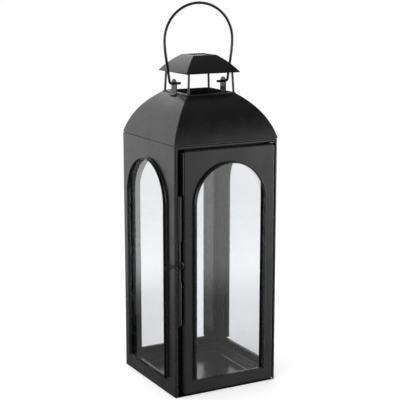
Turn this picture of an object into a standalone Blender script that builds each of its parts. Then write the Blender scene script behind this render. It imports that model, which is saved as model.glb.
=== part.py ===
"""Hurricane candle lantern: square sheet-metal body with four arched windows, a domed roof
with a vent, a small cap on four posts, a wire handle and a glazed door with a turn latch.

Metres, +Z up. The door faces -Y. The origin is the centre of the base, on the surface it stands on.
Wall pieces are modelled as if they were on the front wall and turned about Z to their own wall.
"""

import math

import bmesh
import bpy
from mathutils import Vector

MM = 0.001

# Driving dimensions
BODY_HALF = 75 * MM
BODY_TOP = 327 * MM
SHEET = 1.0 * MM
STRIP_SHEET = 0.8 * MM
GLASS = 2.0 * MM
GLASS_MARGIN = 6.8 * MM
BACK_GLASS_MARGIN = 13.5 * MM
STRIP_LIP = 5.0 * MM
BACK_STRIP_LIP = 1.3 * MM
GAP = 0.3 * MM
WALL_BOTTOM = 0.6 * MM
BEND_RADIUS = 1.6 * MM
BEND_STEPS = 3

# Windows: half width, centre offset along the wall, sill height, height of the arch
FLARE = 4.8 * MM
FLARE_STEPS = 4
ARCH_STEPS = 24
ARCH_TOP = 302 * MM
SIDE_WINDOW = (53 * MM, 21 * MM)
BACK_WINDOW = (51 * MM, 21 * MM)
DOOR_WINDOW = (50.7 * MM, 19.5 * MM)
SIDE_WINDOW_SHIFT = 2 * MM
LATCH_SIDE_RETURN = 3.6 * MM
HINGE_SIDE_RETURN = 3.0 * MM
BACK_PANEL_HALF = 73.65 * MM
BACK_RETURN = 8 * MM

# Door
DOOR_LEFT = -62.7 * MM
DOOR_RIGHT = 71.2 * MM
DOOR_BOTTOM = 1.5 * MM
DOOR_TOP = 321 * MM
DOOR_FLANGE = 7.5 * MM
DOOR_HINGE_RETURN = 3.5 * MM
HINGE_X = 67.6 * MM
HINGE_Y = -72.3 * MM
PIN_RADIUS = 1.0 * MM
PIN_HOLE_RADIUS = 1.35 * MM
PIN_LENGTH = 7 * MM

# Door surround, behind the door's edges
STOP_Y = -65.0 * MM
JAMB_Y = -63.7 * MM
JAMB_INNER = 57 * MM
JAMB_LEG = 73.2 * MM
HEADER_BOTTOM = 324.2 * MM
HEADER_STOP_BOTTOM = 313 * MM
HEADER_LEFT = -71.1 * MM
HEADER_RIGHT = 71.7 * MM
SILL_STOP_TOP = 9 * MM

# Base tray: a flat border round a field pressed down to the surface the lantern stands on
TRAY_HALF = 71.8 * MM
TRAY_FRONT = -62.4 * MM
TRAY_BACK = 73.1 * MM
TRAY_RIM = 10 * MM
TRAY_BORDER = 12 * MM
TRAY_STEP = 1.5 * MM

# Roof: each face is an arc from the eave to the vent
ROOF_BOTTOM = 328.3 * MM
ROOF_TOP = 384.5 * MM
VENT_HALF = 34.75 * MM
ROOF_ARC = 95 * MM
ROOF_STEPS = 12
CURB_HALF = 35.2 * MM
CURB_INNER = 32.1 * MM
CURB_DEPTH = 7.4 * MM

# Cap over the vent
CAP_BOTTOM = 411.8 * MM
CAP_TOP = 433.3 * MM
CAP_HALF = 39.4 * MM
CAP_TOP_HALF = 17.1 * MM
CAP_LIP = 2.5 * MM
CAP_ARC = 85 * MM
CAP_STEPS = 6
POST_RADIUS = 1.5 * MM
POST_FOOT = 33.0 * MM
POST_HEAD = 31.4 * MM
POST_TOP = 417.5 * MM

# Handle and its ears
PIVOT_Z = 397 * MM
EAR_X = 36.3 * MM
EAR_HALF_WIDTH = 7.2 * MM
EAR_BOTTOM = 385.2 * MM
EAR_FOOT = 6.5 * MM
EAR_SHEET = 1.2 * MM
EAR_HOLE = 2.3 * MM
BAIL_RADIUS = 1.75 * MM
BAIL_TIP = 27.5 * MM
BAIL_FOOT = 43.2 * MM
BAIL_BEND = 4 * MM
BAIL_WIDE = 49.8 * MM
BAIL_WIDE_Z = 452 * MM
BAIL_TOP = 499.2 * MM

# Turn latch
LATCH_X = -68.6 * MM
LATCH_Y = -75.4 * MM
ROD_RADIUS = 1.3 * MM
TUBE_RADIUS = 2.4 * MM
LOWER_TUBE = (98.2 * MM, 154.9 * MM)
UPPER_TUBE = (208.2 * MM, 263.2 * MM)
ROD_HEAD_RADIUS = 2.1 * MM
ROD_HEAD_HEIGHT = 1.2 * MM
PULL_RADIUS = 0.9 * MM
PULL_PLANE_Y = -77.9 * MM
PULL_Z = 176.2 * MM
PULL_EYE_LEFT = -75.2 * MM
PULL_EYE_RIGHT = -65.0 * MM
PULL_EYE_HALF_HEIGHT = 4.2 * MM
PULL_NECK_HALF = 1.05 * MM
PULL_LOOP_HALF = 1.6 * MM
PULL_TIP = -91.6 * MM

FRONT, RIGHT, BACK, LEFT = 0, 90, 180, 270


def clear_scene():
    for obj in list(bpy.data.objects):
        bpy.data.objects.remove(obj, do_unlink=True)


def new_collection(name):
    collection = bpy.data.collections.new(name)
    bpy.context.scene.collection.children.link(collection)
    return collection


def make_material(name, colour, roughness, metallic, alpha=1.0):
    material = bpy.data.materials.new(name)
    material.use_nodes = True
    shader = material.node_tree.nodes["Principled BSDF"]
    shader.inputs["Base Color"].default_value = (*colour, 1.0)
    shader.inputs["Roughness"].default_value = roughness
    shader.inputs["Metallic"].default_value = metallic
    shader.inputs["Alpha"].default_value = alpha
    return material


def add_object(name, data, material, collection, turn=FRONT):
    """Links an object whose data is in the front wall's place, turned about Z to its own wall."""
    obj = bpy.data.objects.new(name, data)
    obj.rotation_euler.z = math.radians(turn)
    data.materials.append(material)
    collection.objects.link(obj)
    return obj


def finish_surface(bm, name, facing):
    """Makes the open surface's faces consistent, so that most of them point along facing."""
    bmesh.ops.remove_doubles(bm, verts=bm.verts, dist=0.00001)
    bmesh.ops.recalc_face_normals(bm, faces=bm.faces)
    if sum(face.normal.dot(facing) * face.calc_area() for face in bm.faces) < 0:
        bmesh.ops.reverse_faces(bm, faces=bm.faces)
    mesh = bpy.data.meshes.new(name)
    bm.to_mesh(mesh)
    bm.free()
    return mesh


def thicken(obj, thickness, offset=-1.0):
    solidify = obj.modifiers.new("Sheet", "SOLIDIFY")
    solidify.thickness = thickness
    solidify.offset = offset
    solidify.use_even_offset = True
    return obj


def add_box(name, low, high, material, collection, turn=FRONT):
    bm = bmesh.new()
    bmesh.ops.create_cube(bm, size=1.0)
    low, high = Vector(low), Vector(high)
    bmesh.ops.scale(bm, vec=high - low, verts=bm.verts)
    bmesh.ops.translate(bm, vec=(high + low) / 2, verts=bm.verts)
    mesh = bpy.data.meshes.new(name)
    bm.to_mesh(mesh)
    bm.free()
    return add_object(name, mesh, material, collection, turn)


def add_rod(name, foot, head, radius, material, collection, segments=16):
    """A straight round rod between two points."""
    foot, head = Vector(foot), Vector(head)
    bm = bmesh.new()
    bmesh.ops.create_cone(bm, cap_ends=True, segments=segments, radius1=radius, radius2=radius,
                          depth=(head - foot).length)
    mesh = bpy.data.meshes.new(name)
    bm.to_mesh(mesh)
    bm.free()
    mesh.shade_smooth()
    obj = add_object(name, mesh, material, collection)
    obj.location = (foot + head) / 2
    obj.rotation_euler = (head - foot).to_track_quat("Z", "Y").to_euler()
    return obj


def add_wire(name, points, radius, material, collection, cyclic=False):
    """A round wire along the points, as a curve with a bevel."""
    curve = bpy.data.curves.new(name, "CURVE")
    curve.dimensions = "3D"
    curve.bevel_depth = radius
    curve.bevel_resolution = 2
    curve.use_fill_caps = not cyclic
    spline = curve.splines.new("POLY")
    spline.points.add(len(points) - 1)
    for point, place in zip(spline.points, points):
        point.co = (*place, 1.0)
    spline.use_cyclic_u = cyclic
    return add_object(name, curve, material, collection)


def add_strip(name, path, low, high, thickness, material, collection, turn=FRONT, upright=True):
    """A folded strip of sheet: a path of (x, y) run up Z, or a path of (y, z) run along X."""
    bm = bmesh.new()
    rows = []
    for a, b in path:
        ends = ((a, b, low), (a, b, high)) if upright else ((low, a, b), (high, a, b))
        rows.append([bm.verts.new(end) for end in ends])
    for first, second in zip(rows, rows[1:]):
        bm.faces.new((first[0], second[0], second[1], first[1]))
    mesh = finish_surface(bm, name, Vector((0, -1, 0)))
    return thicken(add_object(name, mesh, material, collection, turn), thickness, 0.0)


def arc_points(radius, bottom, top, steps):
    """(distance from the axis, height) up an outward-bulging arc between two such points."""
    low, high = Vector(bottom), Vector(top)
    chord = high - low
    sagitta = math.sqrt(radius**2 - (chord.length / 2) ** 2)
    inward = Vector((-chord.y, chord.x)).normalized()
    centre = (low + high) / 2 + inward * sagitta
    start = math.atan2(low.y - centre.y, low.x - centre.x)
    end = math.atan2(high.y - centre.y, high.x - centre.x)
    angles = [start + (end - start) * i / steps for i in range(steps + 1)]
    return [(centre.x + radius * math.cos(a), centre.y + radius * math.sin(a)) for a in angles]


ROOF_PROFILE = arc_points(ROOF_ARC, (BODY_HALF, ROOF_BOTTOM), (VENT_HALF, ROOF_TOP), ROOF_STEPS)
CAP_PROFILE = arc_points(CAP_ARC, (CAP_HALF, CAP_BOTTOM), (CAP_TOP_HALF, CAP_TOP), CAP_STEPS)


def square_loft(name, rings, material, collection, thickness, closed_top=False, facing=(0, 0, 1)):
    """Square rings of (half width, height) joined into one sheet-metal piece."""
    bm = bmesh.new()
    corners = ((-1, -1), (1, -1), (1, 1), (-1, 1))
    rows = [[bm.verts.new((sx * half, sy * half, z)) for sx, sy in corners] for half, z in rings]
    for lower, upper in zip(rows, rows[1:]):
        for i in range(4):
            j = (i + 1) % 4
            bm.faces.new((lower[i], lower[j], upper[j], upper[i]))
    if closed_top:
        bm.faces.new(rows[-1])
    mesh = finish_surface(bm, name, Vector(facing))
    return thicken(add_object(name, mesh, material, collection), thickness)


# Pressed panels with an arched window


def window_path(half, centre, sill, offset):
    """(u, z) up the left side of the window, over its arch and down, offset outwards from it."""
    spring = ARCH_TOP - half
    radius = half + offset
    path = [(centre - radius, sill)]
    for i in range(ARCH_STEPS + 1):
        angle = math.pi * (1 - i / ARCH_STEPS)
        path.append((centre + radius * math.cos(angle), spring + radius * math.sin(angle)))
    path.append((centre + radius, sill))
    return path


def bend_rows(side, edge, depth):
    """(u, inward distance) of a sheet turning inward round a bend at the panel's edge."""
    rows = []
    for i in range(1, BEND_STEPS + 1):
        angle = math.pi / 2 * i / BEND_STEPS
        rows.append((edge - side * BEND_RADIUS * (1 - math.sin(angle)), BEND_RADIUS * (1 - math.cos(angle))))
    rows.append((edge, depth))
    return rows


def fold_edge(bm, edge_verts, rows, upright):
    """Adds a fold along one straight edge of the flat sheet."""
    previous = edge_verts
    for place, inward in rows:
        current = []
        for vert in edge_verts:
            x = place if upright else vert.co.x
            z = vert.co.z if upright else place
            current.append(bm.verts.new((x, -BODY_HALF + inward, z)))
        bm.faces.new((previous[0], previous[1], current[1], current[0]))
        previous = current


def pressed_panel(name, left, right, bottom, top, window, centre, folds, material, collection, turn=FRONT):
    """A flat sheet with an arched window whose sides and arch flare outward, and folded edges.

    left, right, bottom and top are its outer edges; folds gives each edge's fold depth, if it has one.
    """
    half, sill = window
    bm = bmesh.new()
    start = {side: BEND_RADIUS if side in folds else 0.0 for side in ("left", "right", "bottom", "top")}
    x0, x1 = left + start["left"], right - start["right"]
    z0, z1 = bottom + start["bottom"], top - start["top"]
    outline = [bm.verts.new((x, -BODY_HALF, z)) for x, z in ((x0, z0), (x1, z0), (x1, z1), (x0, z1))]
    rings = []
    for i in range(FLARE_STEPS + 1):
        angle = math.pi / 2 * i / FLARE_STEPS
        offset = FLARE * (1 - math.sin(angle))
        out = FLARE * (1 - math.cos(angle))
        path = window_path(half, centre, sill, offset)
        rings.append([bm.verts.new((u, -BODY_HALF - out, z)) for u, z in path])
    hole = rings[0]
    edges = [bm.edges.new((outline[i], outline[(i + 1) % 4])) for i in range(4)]
    edges += [bm.edges.new((hole[i], hole[(i + 1) % len(hole)])) for i in range(len(hole))]
    bmesh.ops.triangle_fill(bm, use_beauty=True, use_dissolve=False, edges=edges)
    for outer, inner in zip(rings, rings[1:]):
        for i in range(len(outer) - 1):
            bm.faces.new((outer[i], outer[i + 1], inner[i + 1], inner[i]))
    sides = {"left": (outline[3], outline[0]), "right": (outline[1], outline[2]),
             "bottom": (outline[0], outline[1]), "top": (outline[2], outline[3])}
    places = {"left": (-1, left), "right": (1, right), "bottom": (-1, bottom), "top": (1, top)}
    for side, depth in folds.items():
        sign, edge = places[side]
        fold_edge(bm, sides[side], bend_rows(sign, edge, depth), side in ("left", "right"))
    mesh = finish_surface(bm, name, Vector((0, -1, 0)))
    return thicken(add_object(name, mesh, material, collection, turn), SHEET)


def glaze(prefix, window, centre, materials, collection, turn=FRONT, margin=GLASS_MARGIN, lip=STRIP_LIP):
    """A pane behind a window, with a folded retaining strip down each side of it."""
    half, sill = window
    cover = half + margin
    front = -BODY_HALF + SHEET + GAP
    bottom, top = sill - 8 * MM, ARCH_TOP + 7.5 * MM
    add_box(prefix + "_glass", (centre - cover, front, bottom), (centre + cover, front + GLASS, top),
            materials["glass"], collection, turn)
    base = front + STRIP_SHEET / 2
    raised = front + GLASS + GAP + STRIP_SHEET / 2
    for side, word in ((-1, "a"), (1, "b")):
        edge = centre + side * cover
        path = [(edge + side * 4.0 * MM, base), (edge + side * 0.9 * MM, base),
                (edge + side * 0.9 * MM, raised), (edge - side * lip, raised)]
        add_strip(f"{prefix}_glass_strip_{word}", path, bottom, top, STRIP_SHEET,
                  materials["black"], collection, turn)


def add_walls(materials, collection):
    black = materials["black"]
    shift = SIDE_WINDOW_SHIFT
    pressed_panel("left_panel", -BODY_HALF, BODY_HALF, WALL_BOTTOM, BODY_TOP, SIDE_WINDOW, -shift,
                  {"right": LATCH_SIDE_RETURN}, black, collection, LEFT)
    pressed_panel("right_panel", -BODY_HALF, BODY_HALF, WALL_BOTTOM, BODY_TOP, SIDE_WINDOW, shift,
                  {"left": HINGE_SIDE_RETURN}, black, collection, RIGHT)
    pressed_panel("back_panel", -BACK_PANEL_HALF, BACK_PANEL_HALF, WALL_BOTTOM, BODY_TOP, BACK_WINDOW, 0.0,
                  {"left": BACK_RETURN, "right": BACK_RETURN}, black, collection, BACK)
    glaze("left", SIDE_WINDOW, -shift, materials, collection, LEFT)
    glaze("right", SIDE_WINDOW, shift, materials, collection, RIGHT)
    glaze("back", BACK_WINDOW, 0.0, materials, collection, BACK, BACK_GLASS_MARGIN, BACK_STRIP_LIP)


def add_base(materials, collection):
    """The pressed tray that holds the candle, and the folded sill under the door."""
    bm = bmesh.new()
    insets = ((0.0, TRAY_RIM), (0.0, TRAY_STEP), (TRAY_BORDER, TRAY_STEP), (TRAY_BORDER + TRAY_STEP, 0.0))
    rows = []
    for inset, z in insets:
        x, y0, y1 = TRAY_HALF - inset, TRAY_FRONT + inset, TRAY_BACK - inset
        rows.append([bm.verts.new(place) for place in ((-x, y0, z), (x, y0, z), (x, y1, z), (-x, y1, z))])
    for outer, inner in zip(rows, rows[1:]):
        for i in range(4):
            j = (i + 1) % 4
            bm.faces.new((outer[i], outer[j], inner[j], inner[i]))
    bm.faces.new(rows[-1])
    mesh = finish_surface(bm, "base_tray", Vector((0, 0, -1)))
    thicken(add_object("base_tray", mesh, materials["black"], collection), SHEET)
    half_sheet = SHEET / 2
    path = [(-BODY_HALF + GAP, half_sheet), (STOP_Y, half_sheet), (STOP_Y, SILL_STOP_TOP)]
    add_strip("front_sill", path, HEADER_LEFT, HEADER_RIGHT, SHEET, materials["black"], collection,
              upright=False)


def add_surround(materials, collection):
    """The header over the door and the jambs behind its edges."""
    black = materials["black"]
    top = BODY_TOP - SHEET / 2
    front = -BODY_HALF + SHEET / 2
    path = [(front, HEADER_BOTTOM), (front, top), (STOP_Y, top), (STOP_Y, HEADER_STOP_BOTTOM)]
    add_strip("front_header", path, HEADER_LEFT, HEADER_RIGHT, SHEET, black, collection, upright=False)
    for name, side in (("latch_jamb", -1), ("hinge_jamb", 1)):
        path = [(side * JAMB_LEG, -BODY_HALF + SHEET + 0.6 * MM), (side * JAMB_LEG, JAMB_Y),
                (side * JAMB_INNER, JAMB_Y)]
        add_strip(name, path, SHEET + GAP, BODY_TOP - SHEET - GAP, SHEET, black, collection)


def add_hinge(materials, collection):
    """Two pins on the body that the door turns on, the upper one hung from a small bracket."""
    steel = materials["steel"]
    bracket_bottom = DOOR_TOP + 1.0 * MM
    add_box("hinge_bracket", (HINGE_X - 4 * MM, HINGE_Y - 1.1 * MM, bracket_bottom),
            (HINGE_X + 4.5 * MM, STOP_Y - SHEET / 2 - GAP, bracket_bottom + SHEET), steel, collection)
    pin_top = bracket_bottom - GAP
    add_rod("hinge_pin_upper", (HINGE_X, HINGE_Y, pin_top - PIN_LENGTH), (HINGE_X, HINGE_Y, pin_top),
            PIN_RADIUS, steel, collection)
    pin_bottom = SHEET + GAP
    add_rod("hinge_pin_lower", (HINGE_X, HINGE_Y, pin_bottom), (HINGE_X, HINGE_Y, pin_bottom + PIN_LENGTH),
            PIN_RADIUS, steel, collection)


def add_hole(obj, place, radius, depth, cutters, segments=24):
    """Cuts an upright hole of the given depth, centred on place, through the object."""
    bm = bmesh.new()
    bmesh.ops.create_cone(bm, cap_ends=True, segments=segments, radius1=radius, radius2=radius, depth=depth)
    mesh = bpy.data.meshes.new("hole")
    bm.to_mesh(mesh)
    bm.free()
    cutter = bpy.data.objects.new(f"{obj.name}_hole_{len(obj.modifiers)}", mesh)
    cutter.location = place
    cutter.hide_render = True
    cutter.display_type = "WIRE"
    cutters.objects.link(cutter)
    cut = obj.modifiers.new("Hole", "BOOLEAN")
    cut.operation = "DIFFERENCE"
    cut.solver = "EXACT"
    cut.object = cutter


def add_door(materials, collection, cutters):
    """The door turns about the hinge empty, on the line of the two pins."""
    hinge = bpy.data.objects.new("door_hinge_axis", None)
    hinge.location = (HINGE_X, HINGE_Y, 0)
    collection.objects.link(hinge)
    centre = (DOOR_LEFT + DOOR_RIGHT) / 2
    folds = {"left": DOOR_FLANGE, "right": DOOR_HINGE_RETURN, "bottom": DOOR_FLANGE, "top": DOOR_FLANGE}
    panel = pressed_panel("door_panel", DOOR_LEFT, DOOR_RIGHT, DOOR_BOTTOM, DOOR_TOP, DOOR_WINDOW, centre,
                          folds, materials["black"], collection)
    for z in (DOOR_BOTTOM, DOOR_TOP):
        add_hole(panel, (HINGE_X, HINGE_Y, z), PIN_HOLE_RADIUS, 4 * SHEET, cutters)
    before = set(collection.objects)
    glaze("door", DOOR_WINDOW, centre, materials, collection)
    for obj in [panel, *sorted(set(collection.objects) - before, key=lambda item: item.name)]:
        obj.parent = hinge
        obj.matrix_parent_inverse = hinge.matrix_basis.inverted()


def sheet_reach(profile, i):
    """How far a roof sheet's thickness reaches in from its outer face, level, at ring i."""
    low, high = profile[max(i - 1, 0)], profile[min(i + 1, len(profile) - 1)]
    slope = math.atan2(high[1] - low[1], low[0] - high[0])
    return SHEET / math.sin(slope)


def add_roof(materials, collection):
    """Four curved sheets. The front and back ones run to the hips, and the side ones butt against them."""
    black = materials["black"]
    walls = (("roof_front", FRONT, False), ("roof_right", RIGHT, True),
             ("roof_back", BACK, False), ("roof_left", LEFT, True))
    for name, turn, inset in walls:
        bm = bmesh.new()
        rows = []
        for i, (reach, z) in enumerate(ROOF_PROFILE):
            half = reach - (sheet_reach(ROOF_PROFILE, i) + GAP if inset else 0.0)
            rows.append([bm.verts.new((-half, -reach, z)), bm.verts.new((half, -reach, z))])
        for lower, upper in zip(rows, rows[1:]):
            bm.faces.new((lower[0], lower[1], upper[1], upper[0]))
        mesh = finish_surface(bm, name, Vector((0, -1, 1)))
        thicken(add_object(name, mesh, black, collection, turn), SHEET)
    add_square_ring("roof_base_frame", 73.1 * MM, 66 * MM, BODY_TOP + GAP, 2.4 * MM, black, collection)
    curb = ((CURB_HALF, ROOF_TOP + SHEET + 0.3 * MM), (CURB_INNER, ROOF_TOP + SHEET + 0.3 * MM),
            (CURB_INNER, ROOF_TOP + SHEET - CURB_DEPTH))
    square_loft("vent_curb", curb, black, collection, SHEET)


def add_square_ring(name, outer, inner, bottom, height, material, collection):
    """A flat square ring, as a 2D curve with a square hole, extruded."""
    curve = bpy.data.curves.new(name, "CURVE")
    curve.dimensions = "2D"
    curve.fill_mode = "BOTH"
    curve.extrude = height / 2
    for half in (outer, inner):
        spline = curve.splines.new("POLY")
        spline.points.add(3)
        for point, (sx, sy) in zip(spline.points, ((-1, -1), (1, -1), (1, 1), (-1, 1))):
            point.co = (sx * half, sy * half, 0.0, 1.0)
        spline.use_cyclic_u = True
    obj = add_object(name, curve, material, collection)
    obj.location.z = bottom + height / 2
    return obj


def add_cap(materials, collection):
    """The small roof on four posts that keeps rain out of the vent."""
    black = materials["black"]
    rings = [*CAP_PROFILE, (CAP_TOP_HALF - CAP_LIP, CAP_TOP)]
    square_loft("vent_cap", rings, black, collection, SHEET)
    plate_half = CAP_TOP_HALF - 0.1 * MM
    plate_top = CAP_TOP - SHEET - GAP
    add_box("vent_cap_plate", (-plate_half, -plate_half, plate_top - SHEET), (plate_half, plate_half, plate_top),
            black, collection)
    foot_z = ROOF_TOP + SHEET + 0.3 * MM + GAP
    corners = (("front_left", -1, -1), ("front_right", 1, -1), ("back_right", 1, 1), ("back_left", -1, 1))
    for word, sx, sy in corners:
        add_rod(f"vent_post_{word}", (sx * POST_FOOT, sy * POST_FOOT, foot_z),
                (sx * POST_HEAD, sy * POST_HEAD, POST_TOP), POST_RADIUS, black, collection, 12)


def add_ears(materials, collection):
    """Two bent tabs beside the vent, each with a hole for the handle and a foot on the roof."""
    for name, turn in (("handle_ear_left", LEFT), ("handle_ear_right", RIGHT)):
        bm = bmesh.new()
        tab = [(-EAR_HALF_WIDTH, EAR_BOTTOM), (EAR_HALF_WIDTH, EAR_BOTTOM)]
        spring = PIVOT_Z - 1.2 * MM
        for i in range(13):
            angle = math.pi * i / 12
            tab.append((EAR_HALF_WIDTH * math.cos(angle), spring + EAR_HALF_WIDTH * math.sin(angle)))
        turns = [2 * math.pi * i / 16 for i in range(16)]
        hole = [(EAR_HOLE * math.cos(a), PIVOT_Z + EAR_HOLE * math.sin(a)) for a in turns]
        loops = [[bm.verts.new((u, -EAR_X, z)) for u, z in loop] for loop in (tab, hole)]
        edges = []
        for loop in loops:
            edges += [bm.edges.new((loop[i], loop[(i + 1) % len(loop)])) for i in range(len(loop))]
        bmesh.ops.triangle_fill(bm, use_beauty=True, use_dissolve=False, edges=edges)
        slope = math.atan2(ROOF_PROFILE[-2][1] - ROOF_PROFILE[-1][1], ROOF_PROFILE[-2][0] - ROOF_PROFILE[-1][0])
        ends = []
        for vert in loops[0][:2]:
            reach = EAR_X + EAR_FOOT * math.cos(slope)
            ends.append(bm.verts.new((vert.co.x, -reach, EAR_BOTTOM + EAR_FOOT * math.sin(slope))))
        bm.faces.new((loops[0][0], loops[0][1], ends[1], ends[0]))
        mesh = finish_surface(bm, name, Vector((0, -1, 0)))
        thicken(add_object(name, mesh, materials["black"], collection, turn), EAR_SHEET, 0.0)


def bail_points():
    """The handle's centre line in its upright plane, from one inner tip to the other."""
    right = [(BAIL_TIP, PIVOT_Z), ((BAIL_TIP + BAIL_FOOT - BAIL_BEND) / 2, PIVOT_Z)]
    for i in range(6):
        angle = math.radians(-90 + 83 * i / 5)
        x = BAIL_FOOT - BAIL_BEND + BAIL_BEND * math.cos(angle)
        right.append((x, PIVOT_Z + BAIL_BEND + BAIL_BEND * math.sin(angle)))
    foot_x, foot_z = right[-1]
    lean = math.tan(math.radians(7))
    rise = BAIL_WIDE_Z - foot_z
    for i in range(1, 7):
        t = i / 6
        start = (2 * t**3 - 3 * t**2 + 1) * foot_x + (t**3 - 2 * t**2 + t) * lean * rise
        right.append((start + (3 * t**2 - 2 * t**3) * BAIL_WIDE, foot_z + rise * t))
    for i in range(1, 13):
        angle = math.pi / 2 * i / 12
        x = BAIL_WIDE * math.cos(angle)
        right.append((x, BAIL_WIDE_Z + (BAIL_TOP - BAIL_WIDE_Z) * math.sin(angle)))
    left = [(-x, z) for x, z in reversed(right[:-1])]
    return [(x, 0.0, z - PIVOT_Z) for x, z in right + left]


def add_handle(materials, collection):
    bail = add_wire("handle_bail", bail_points(), BAIL_RADIUS, materials["black"], collection)
    bail.location.z = PIVOT_Z


def pull_points():
    """The latch pull's closed outline in its upright plane: a round eye over the rod and a narrow loop."""
    eye_x = (PULL_EYE_LEFT + PULL_EYE_RIGHT) / 2
    eye_half = (PULL_EYE_RIGHT - PULL_EYE_LEFT) / 2
    upper = []
    for i in range(13):
        angle = math.radians(155 * i / 12)
        upper.append((eye_x + eye_half * math.cos(angle), PULL_EYE_HALF_HEIGHT * math.sin(angle)))
    neck_x = PULL_EYE_LEFT - 2.2 * MM
    loop_x = PULL_EYE_LEFT - 6 * MM
    upper += [(neck_x, PULL_NECK_HALF), (loop_x, PULL_LOOP_HALF)]
    end_x = PULL_TIP + PULL_LOOP_HALF
    upper.append(((loop_x + end_x) / 2, PULL_LOOP_HALF))
    for i in range(7):
        angle = math.radians(90 + 90 * i / 6)
        upper.append((end_x + PULL_LOOP_HALF * math.cos(angle), PULL_LOOP_HALF * math.sin(angle)))
    lower = [(x, -z) for x, z in reversed(upper[1:-1])]
    return [(x - LATCH_X, PULL_PLANE_Y - LATCH_Y, PULL_Z + z) for x, z in upper + lower]


def add_latch(materials, collection):
    """A rod that turns in two rolled guides, and the wire pull fixed across it."""
    black = materials["black"]
    axis = (LATCH_X, LATCH_Y, 0)
    head = ROD_HEAD_HEIGHT
    bottom, top = LOWER_TUBE[0] - GAP, UPPER_TUBE[1] + GAP
    profile = [(0, top + head), (ROD_HEAD_RADIUS, top + head), (ROD_HEAD_RADIUS, top), (ROD_RADIUS, top),
               (ROD_RADIUS, bottom), (ROD_HEAD_RADIUS, bottom), (ROD_HEAD_RADIUS, bottom - head),
               (0, bottom - head)]
    mesh = bpy.data.meshes.new("latch_rod")
    edges = [(i, i + 1) for i in range(len(profile) - 1)]
    mesh.from_pydata([(x, 0, z) for x, z in profile], edges, [])
    rod = add_object("latch_rod", mesh, materials["steel"], collection)
    rod.location = axis
    screw = rod.modifiers.new("Turn", "SCREW")
    screw.steps = screw.render_steps = 16
    screw.use_merge_vertices = True
    screw.merge_threshold = 0.00001
    pull = add_wire("latch_pull", pull_points(), PULL_RADIUS, black, collection, cyclic=True)
    pull.location = axis
    for name, (low, high) in (("latch_guide_lower", LOWER_TUBE), ("latch_guide_upper", UPPER_TUBE)):
        middle = TUBE_RADIUS - STRIP_SHEET / 2
        back = JAMB_Y - SHEET / 2 - GAP
        path = [(LATCH_X + middle, back), (LATCH_X + middle, LATCH_Y + 0.4 * MM)]
        for i in range(15):
            angle = math.radians(-310 * i / 14)
            path.append((LATCH_X + middle * math.cos(angle), LATCH_Y + middle * math.sin(angle)))
        add_strip(name, path, low, high, STRIP_SHEET, black, collection)


def main():
    clear_scene()
    collection = new_collection("hurricane_candle_lantern")
    cutters = new_collection("cutters")
    materials = {
        "black": make_material("black_powder_coat", (0.022, 0.022, 0.023), 0.42, 0.0),
        "steel": make_material("blackened_steel", (0.05, 0.05, 0.052), 0.35, 0.6),
        "glass": make_material("clear_glass", (0.92, 0.95, 0.95), 0.02, 0.0, 0.35),
    }
    add_base(materials, collection)
    add_walls(materials, collection)
    add_surround(materials, collection)
    add_roof(materials, collection)
    add_cap(materials, collection)
    add_ears(materials, collection)
    add_handle(materials, collection)
    add_hinge(materials, collection)
    add_door(materials, collection, cutters)
    add_latch(materials, collection)


main()
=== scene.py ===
"""Looks for the hurricane candle lantern: finer sheet-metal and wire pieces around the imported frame,
satin black powder coat, clear glass, a pale floor and a soft studio. Metres, in the frame's own axes.
"""

import math

import bmesh
import bpy
from mathutils import Matrix, Vector


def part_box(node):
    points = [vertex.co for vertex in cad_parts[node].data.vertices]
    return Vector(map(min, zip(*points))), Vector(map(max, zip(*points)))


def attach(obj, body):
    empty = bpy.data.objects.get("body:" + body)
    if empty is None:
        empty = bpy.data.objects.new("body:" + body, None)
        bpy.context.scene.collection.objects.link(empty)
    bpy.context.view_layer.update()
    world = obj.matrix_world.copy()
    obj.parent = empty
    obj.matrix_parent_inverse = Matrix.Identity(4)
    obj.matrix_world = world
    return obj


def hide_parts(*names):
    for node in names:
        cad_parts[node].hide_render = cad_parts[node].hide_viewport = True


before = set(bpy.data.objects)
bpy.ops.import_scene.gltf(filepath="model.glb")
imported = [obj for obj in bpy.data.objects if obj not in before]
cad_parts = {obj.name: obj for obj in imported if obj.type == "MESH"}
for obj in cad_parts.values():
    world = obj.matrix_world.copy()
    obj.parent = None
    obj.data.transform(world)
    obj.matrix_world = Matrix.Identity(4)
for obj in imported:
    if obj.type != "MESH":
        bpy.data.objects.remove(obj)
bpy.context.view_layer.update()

MM = 0.001
# How far each wall is turned from the front one about Z, in degrees
FRONT, RIGHT, BACK, LEFT = 0, 90, 180, 270
BLACK, STEEL, GLASS = "black_powder_coat", "blackened_steel", "clear_glass"
WHITE = (1.0, 1.0, 1.0, 1.0)

# The camera: where it looks, and from where, with its angles in degrees
CAMERA_TARGET = Vector((1.2, -0.7, 240.1)) * MM
CAMERA_AZIMUTH = -28.6
CAMERA_ELEVATION = 11.55
CAMERA_DISTANCE = 1514.3 * MM
CAMERA_LENS = 102.3
SENSOR_WIDTH = 36

# Sheet metal
SHEET = 0.9 * MM
THIN_SHEET = 0.7 * MM
BEND = 2.2 * MM
BEND_STEPS = 6
EDGE_ROUND = 0.18 * MM
EDGE_ANGLE = 50
MERGE_DISTANCE = 0.004 * MM
# A bend takes at most this share of the shorter leg beside it
MOST_OF_LEG = 0.45

# A wire's domed end: its shoulder and its tip, in radii
DOME_SHOULDER = 0.35
DOME_TIP = 0.5

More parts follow.
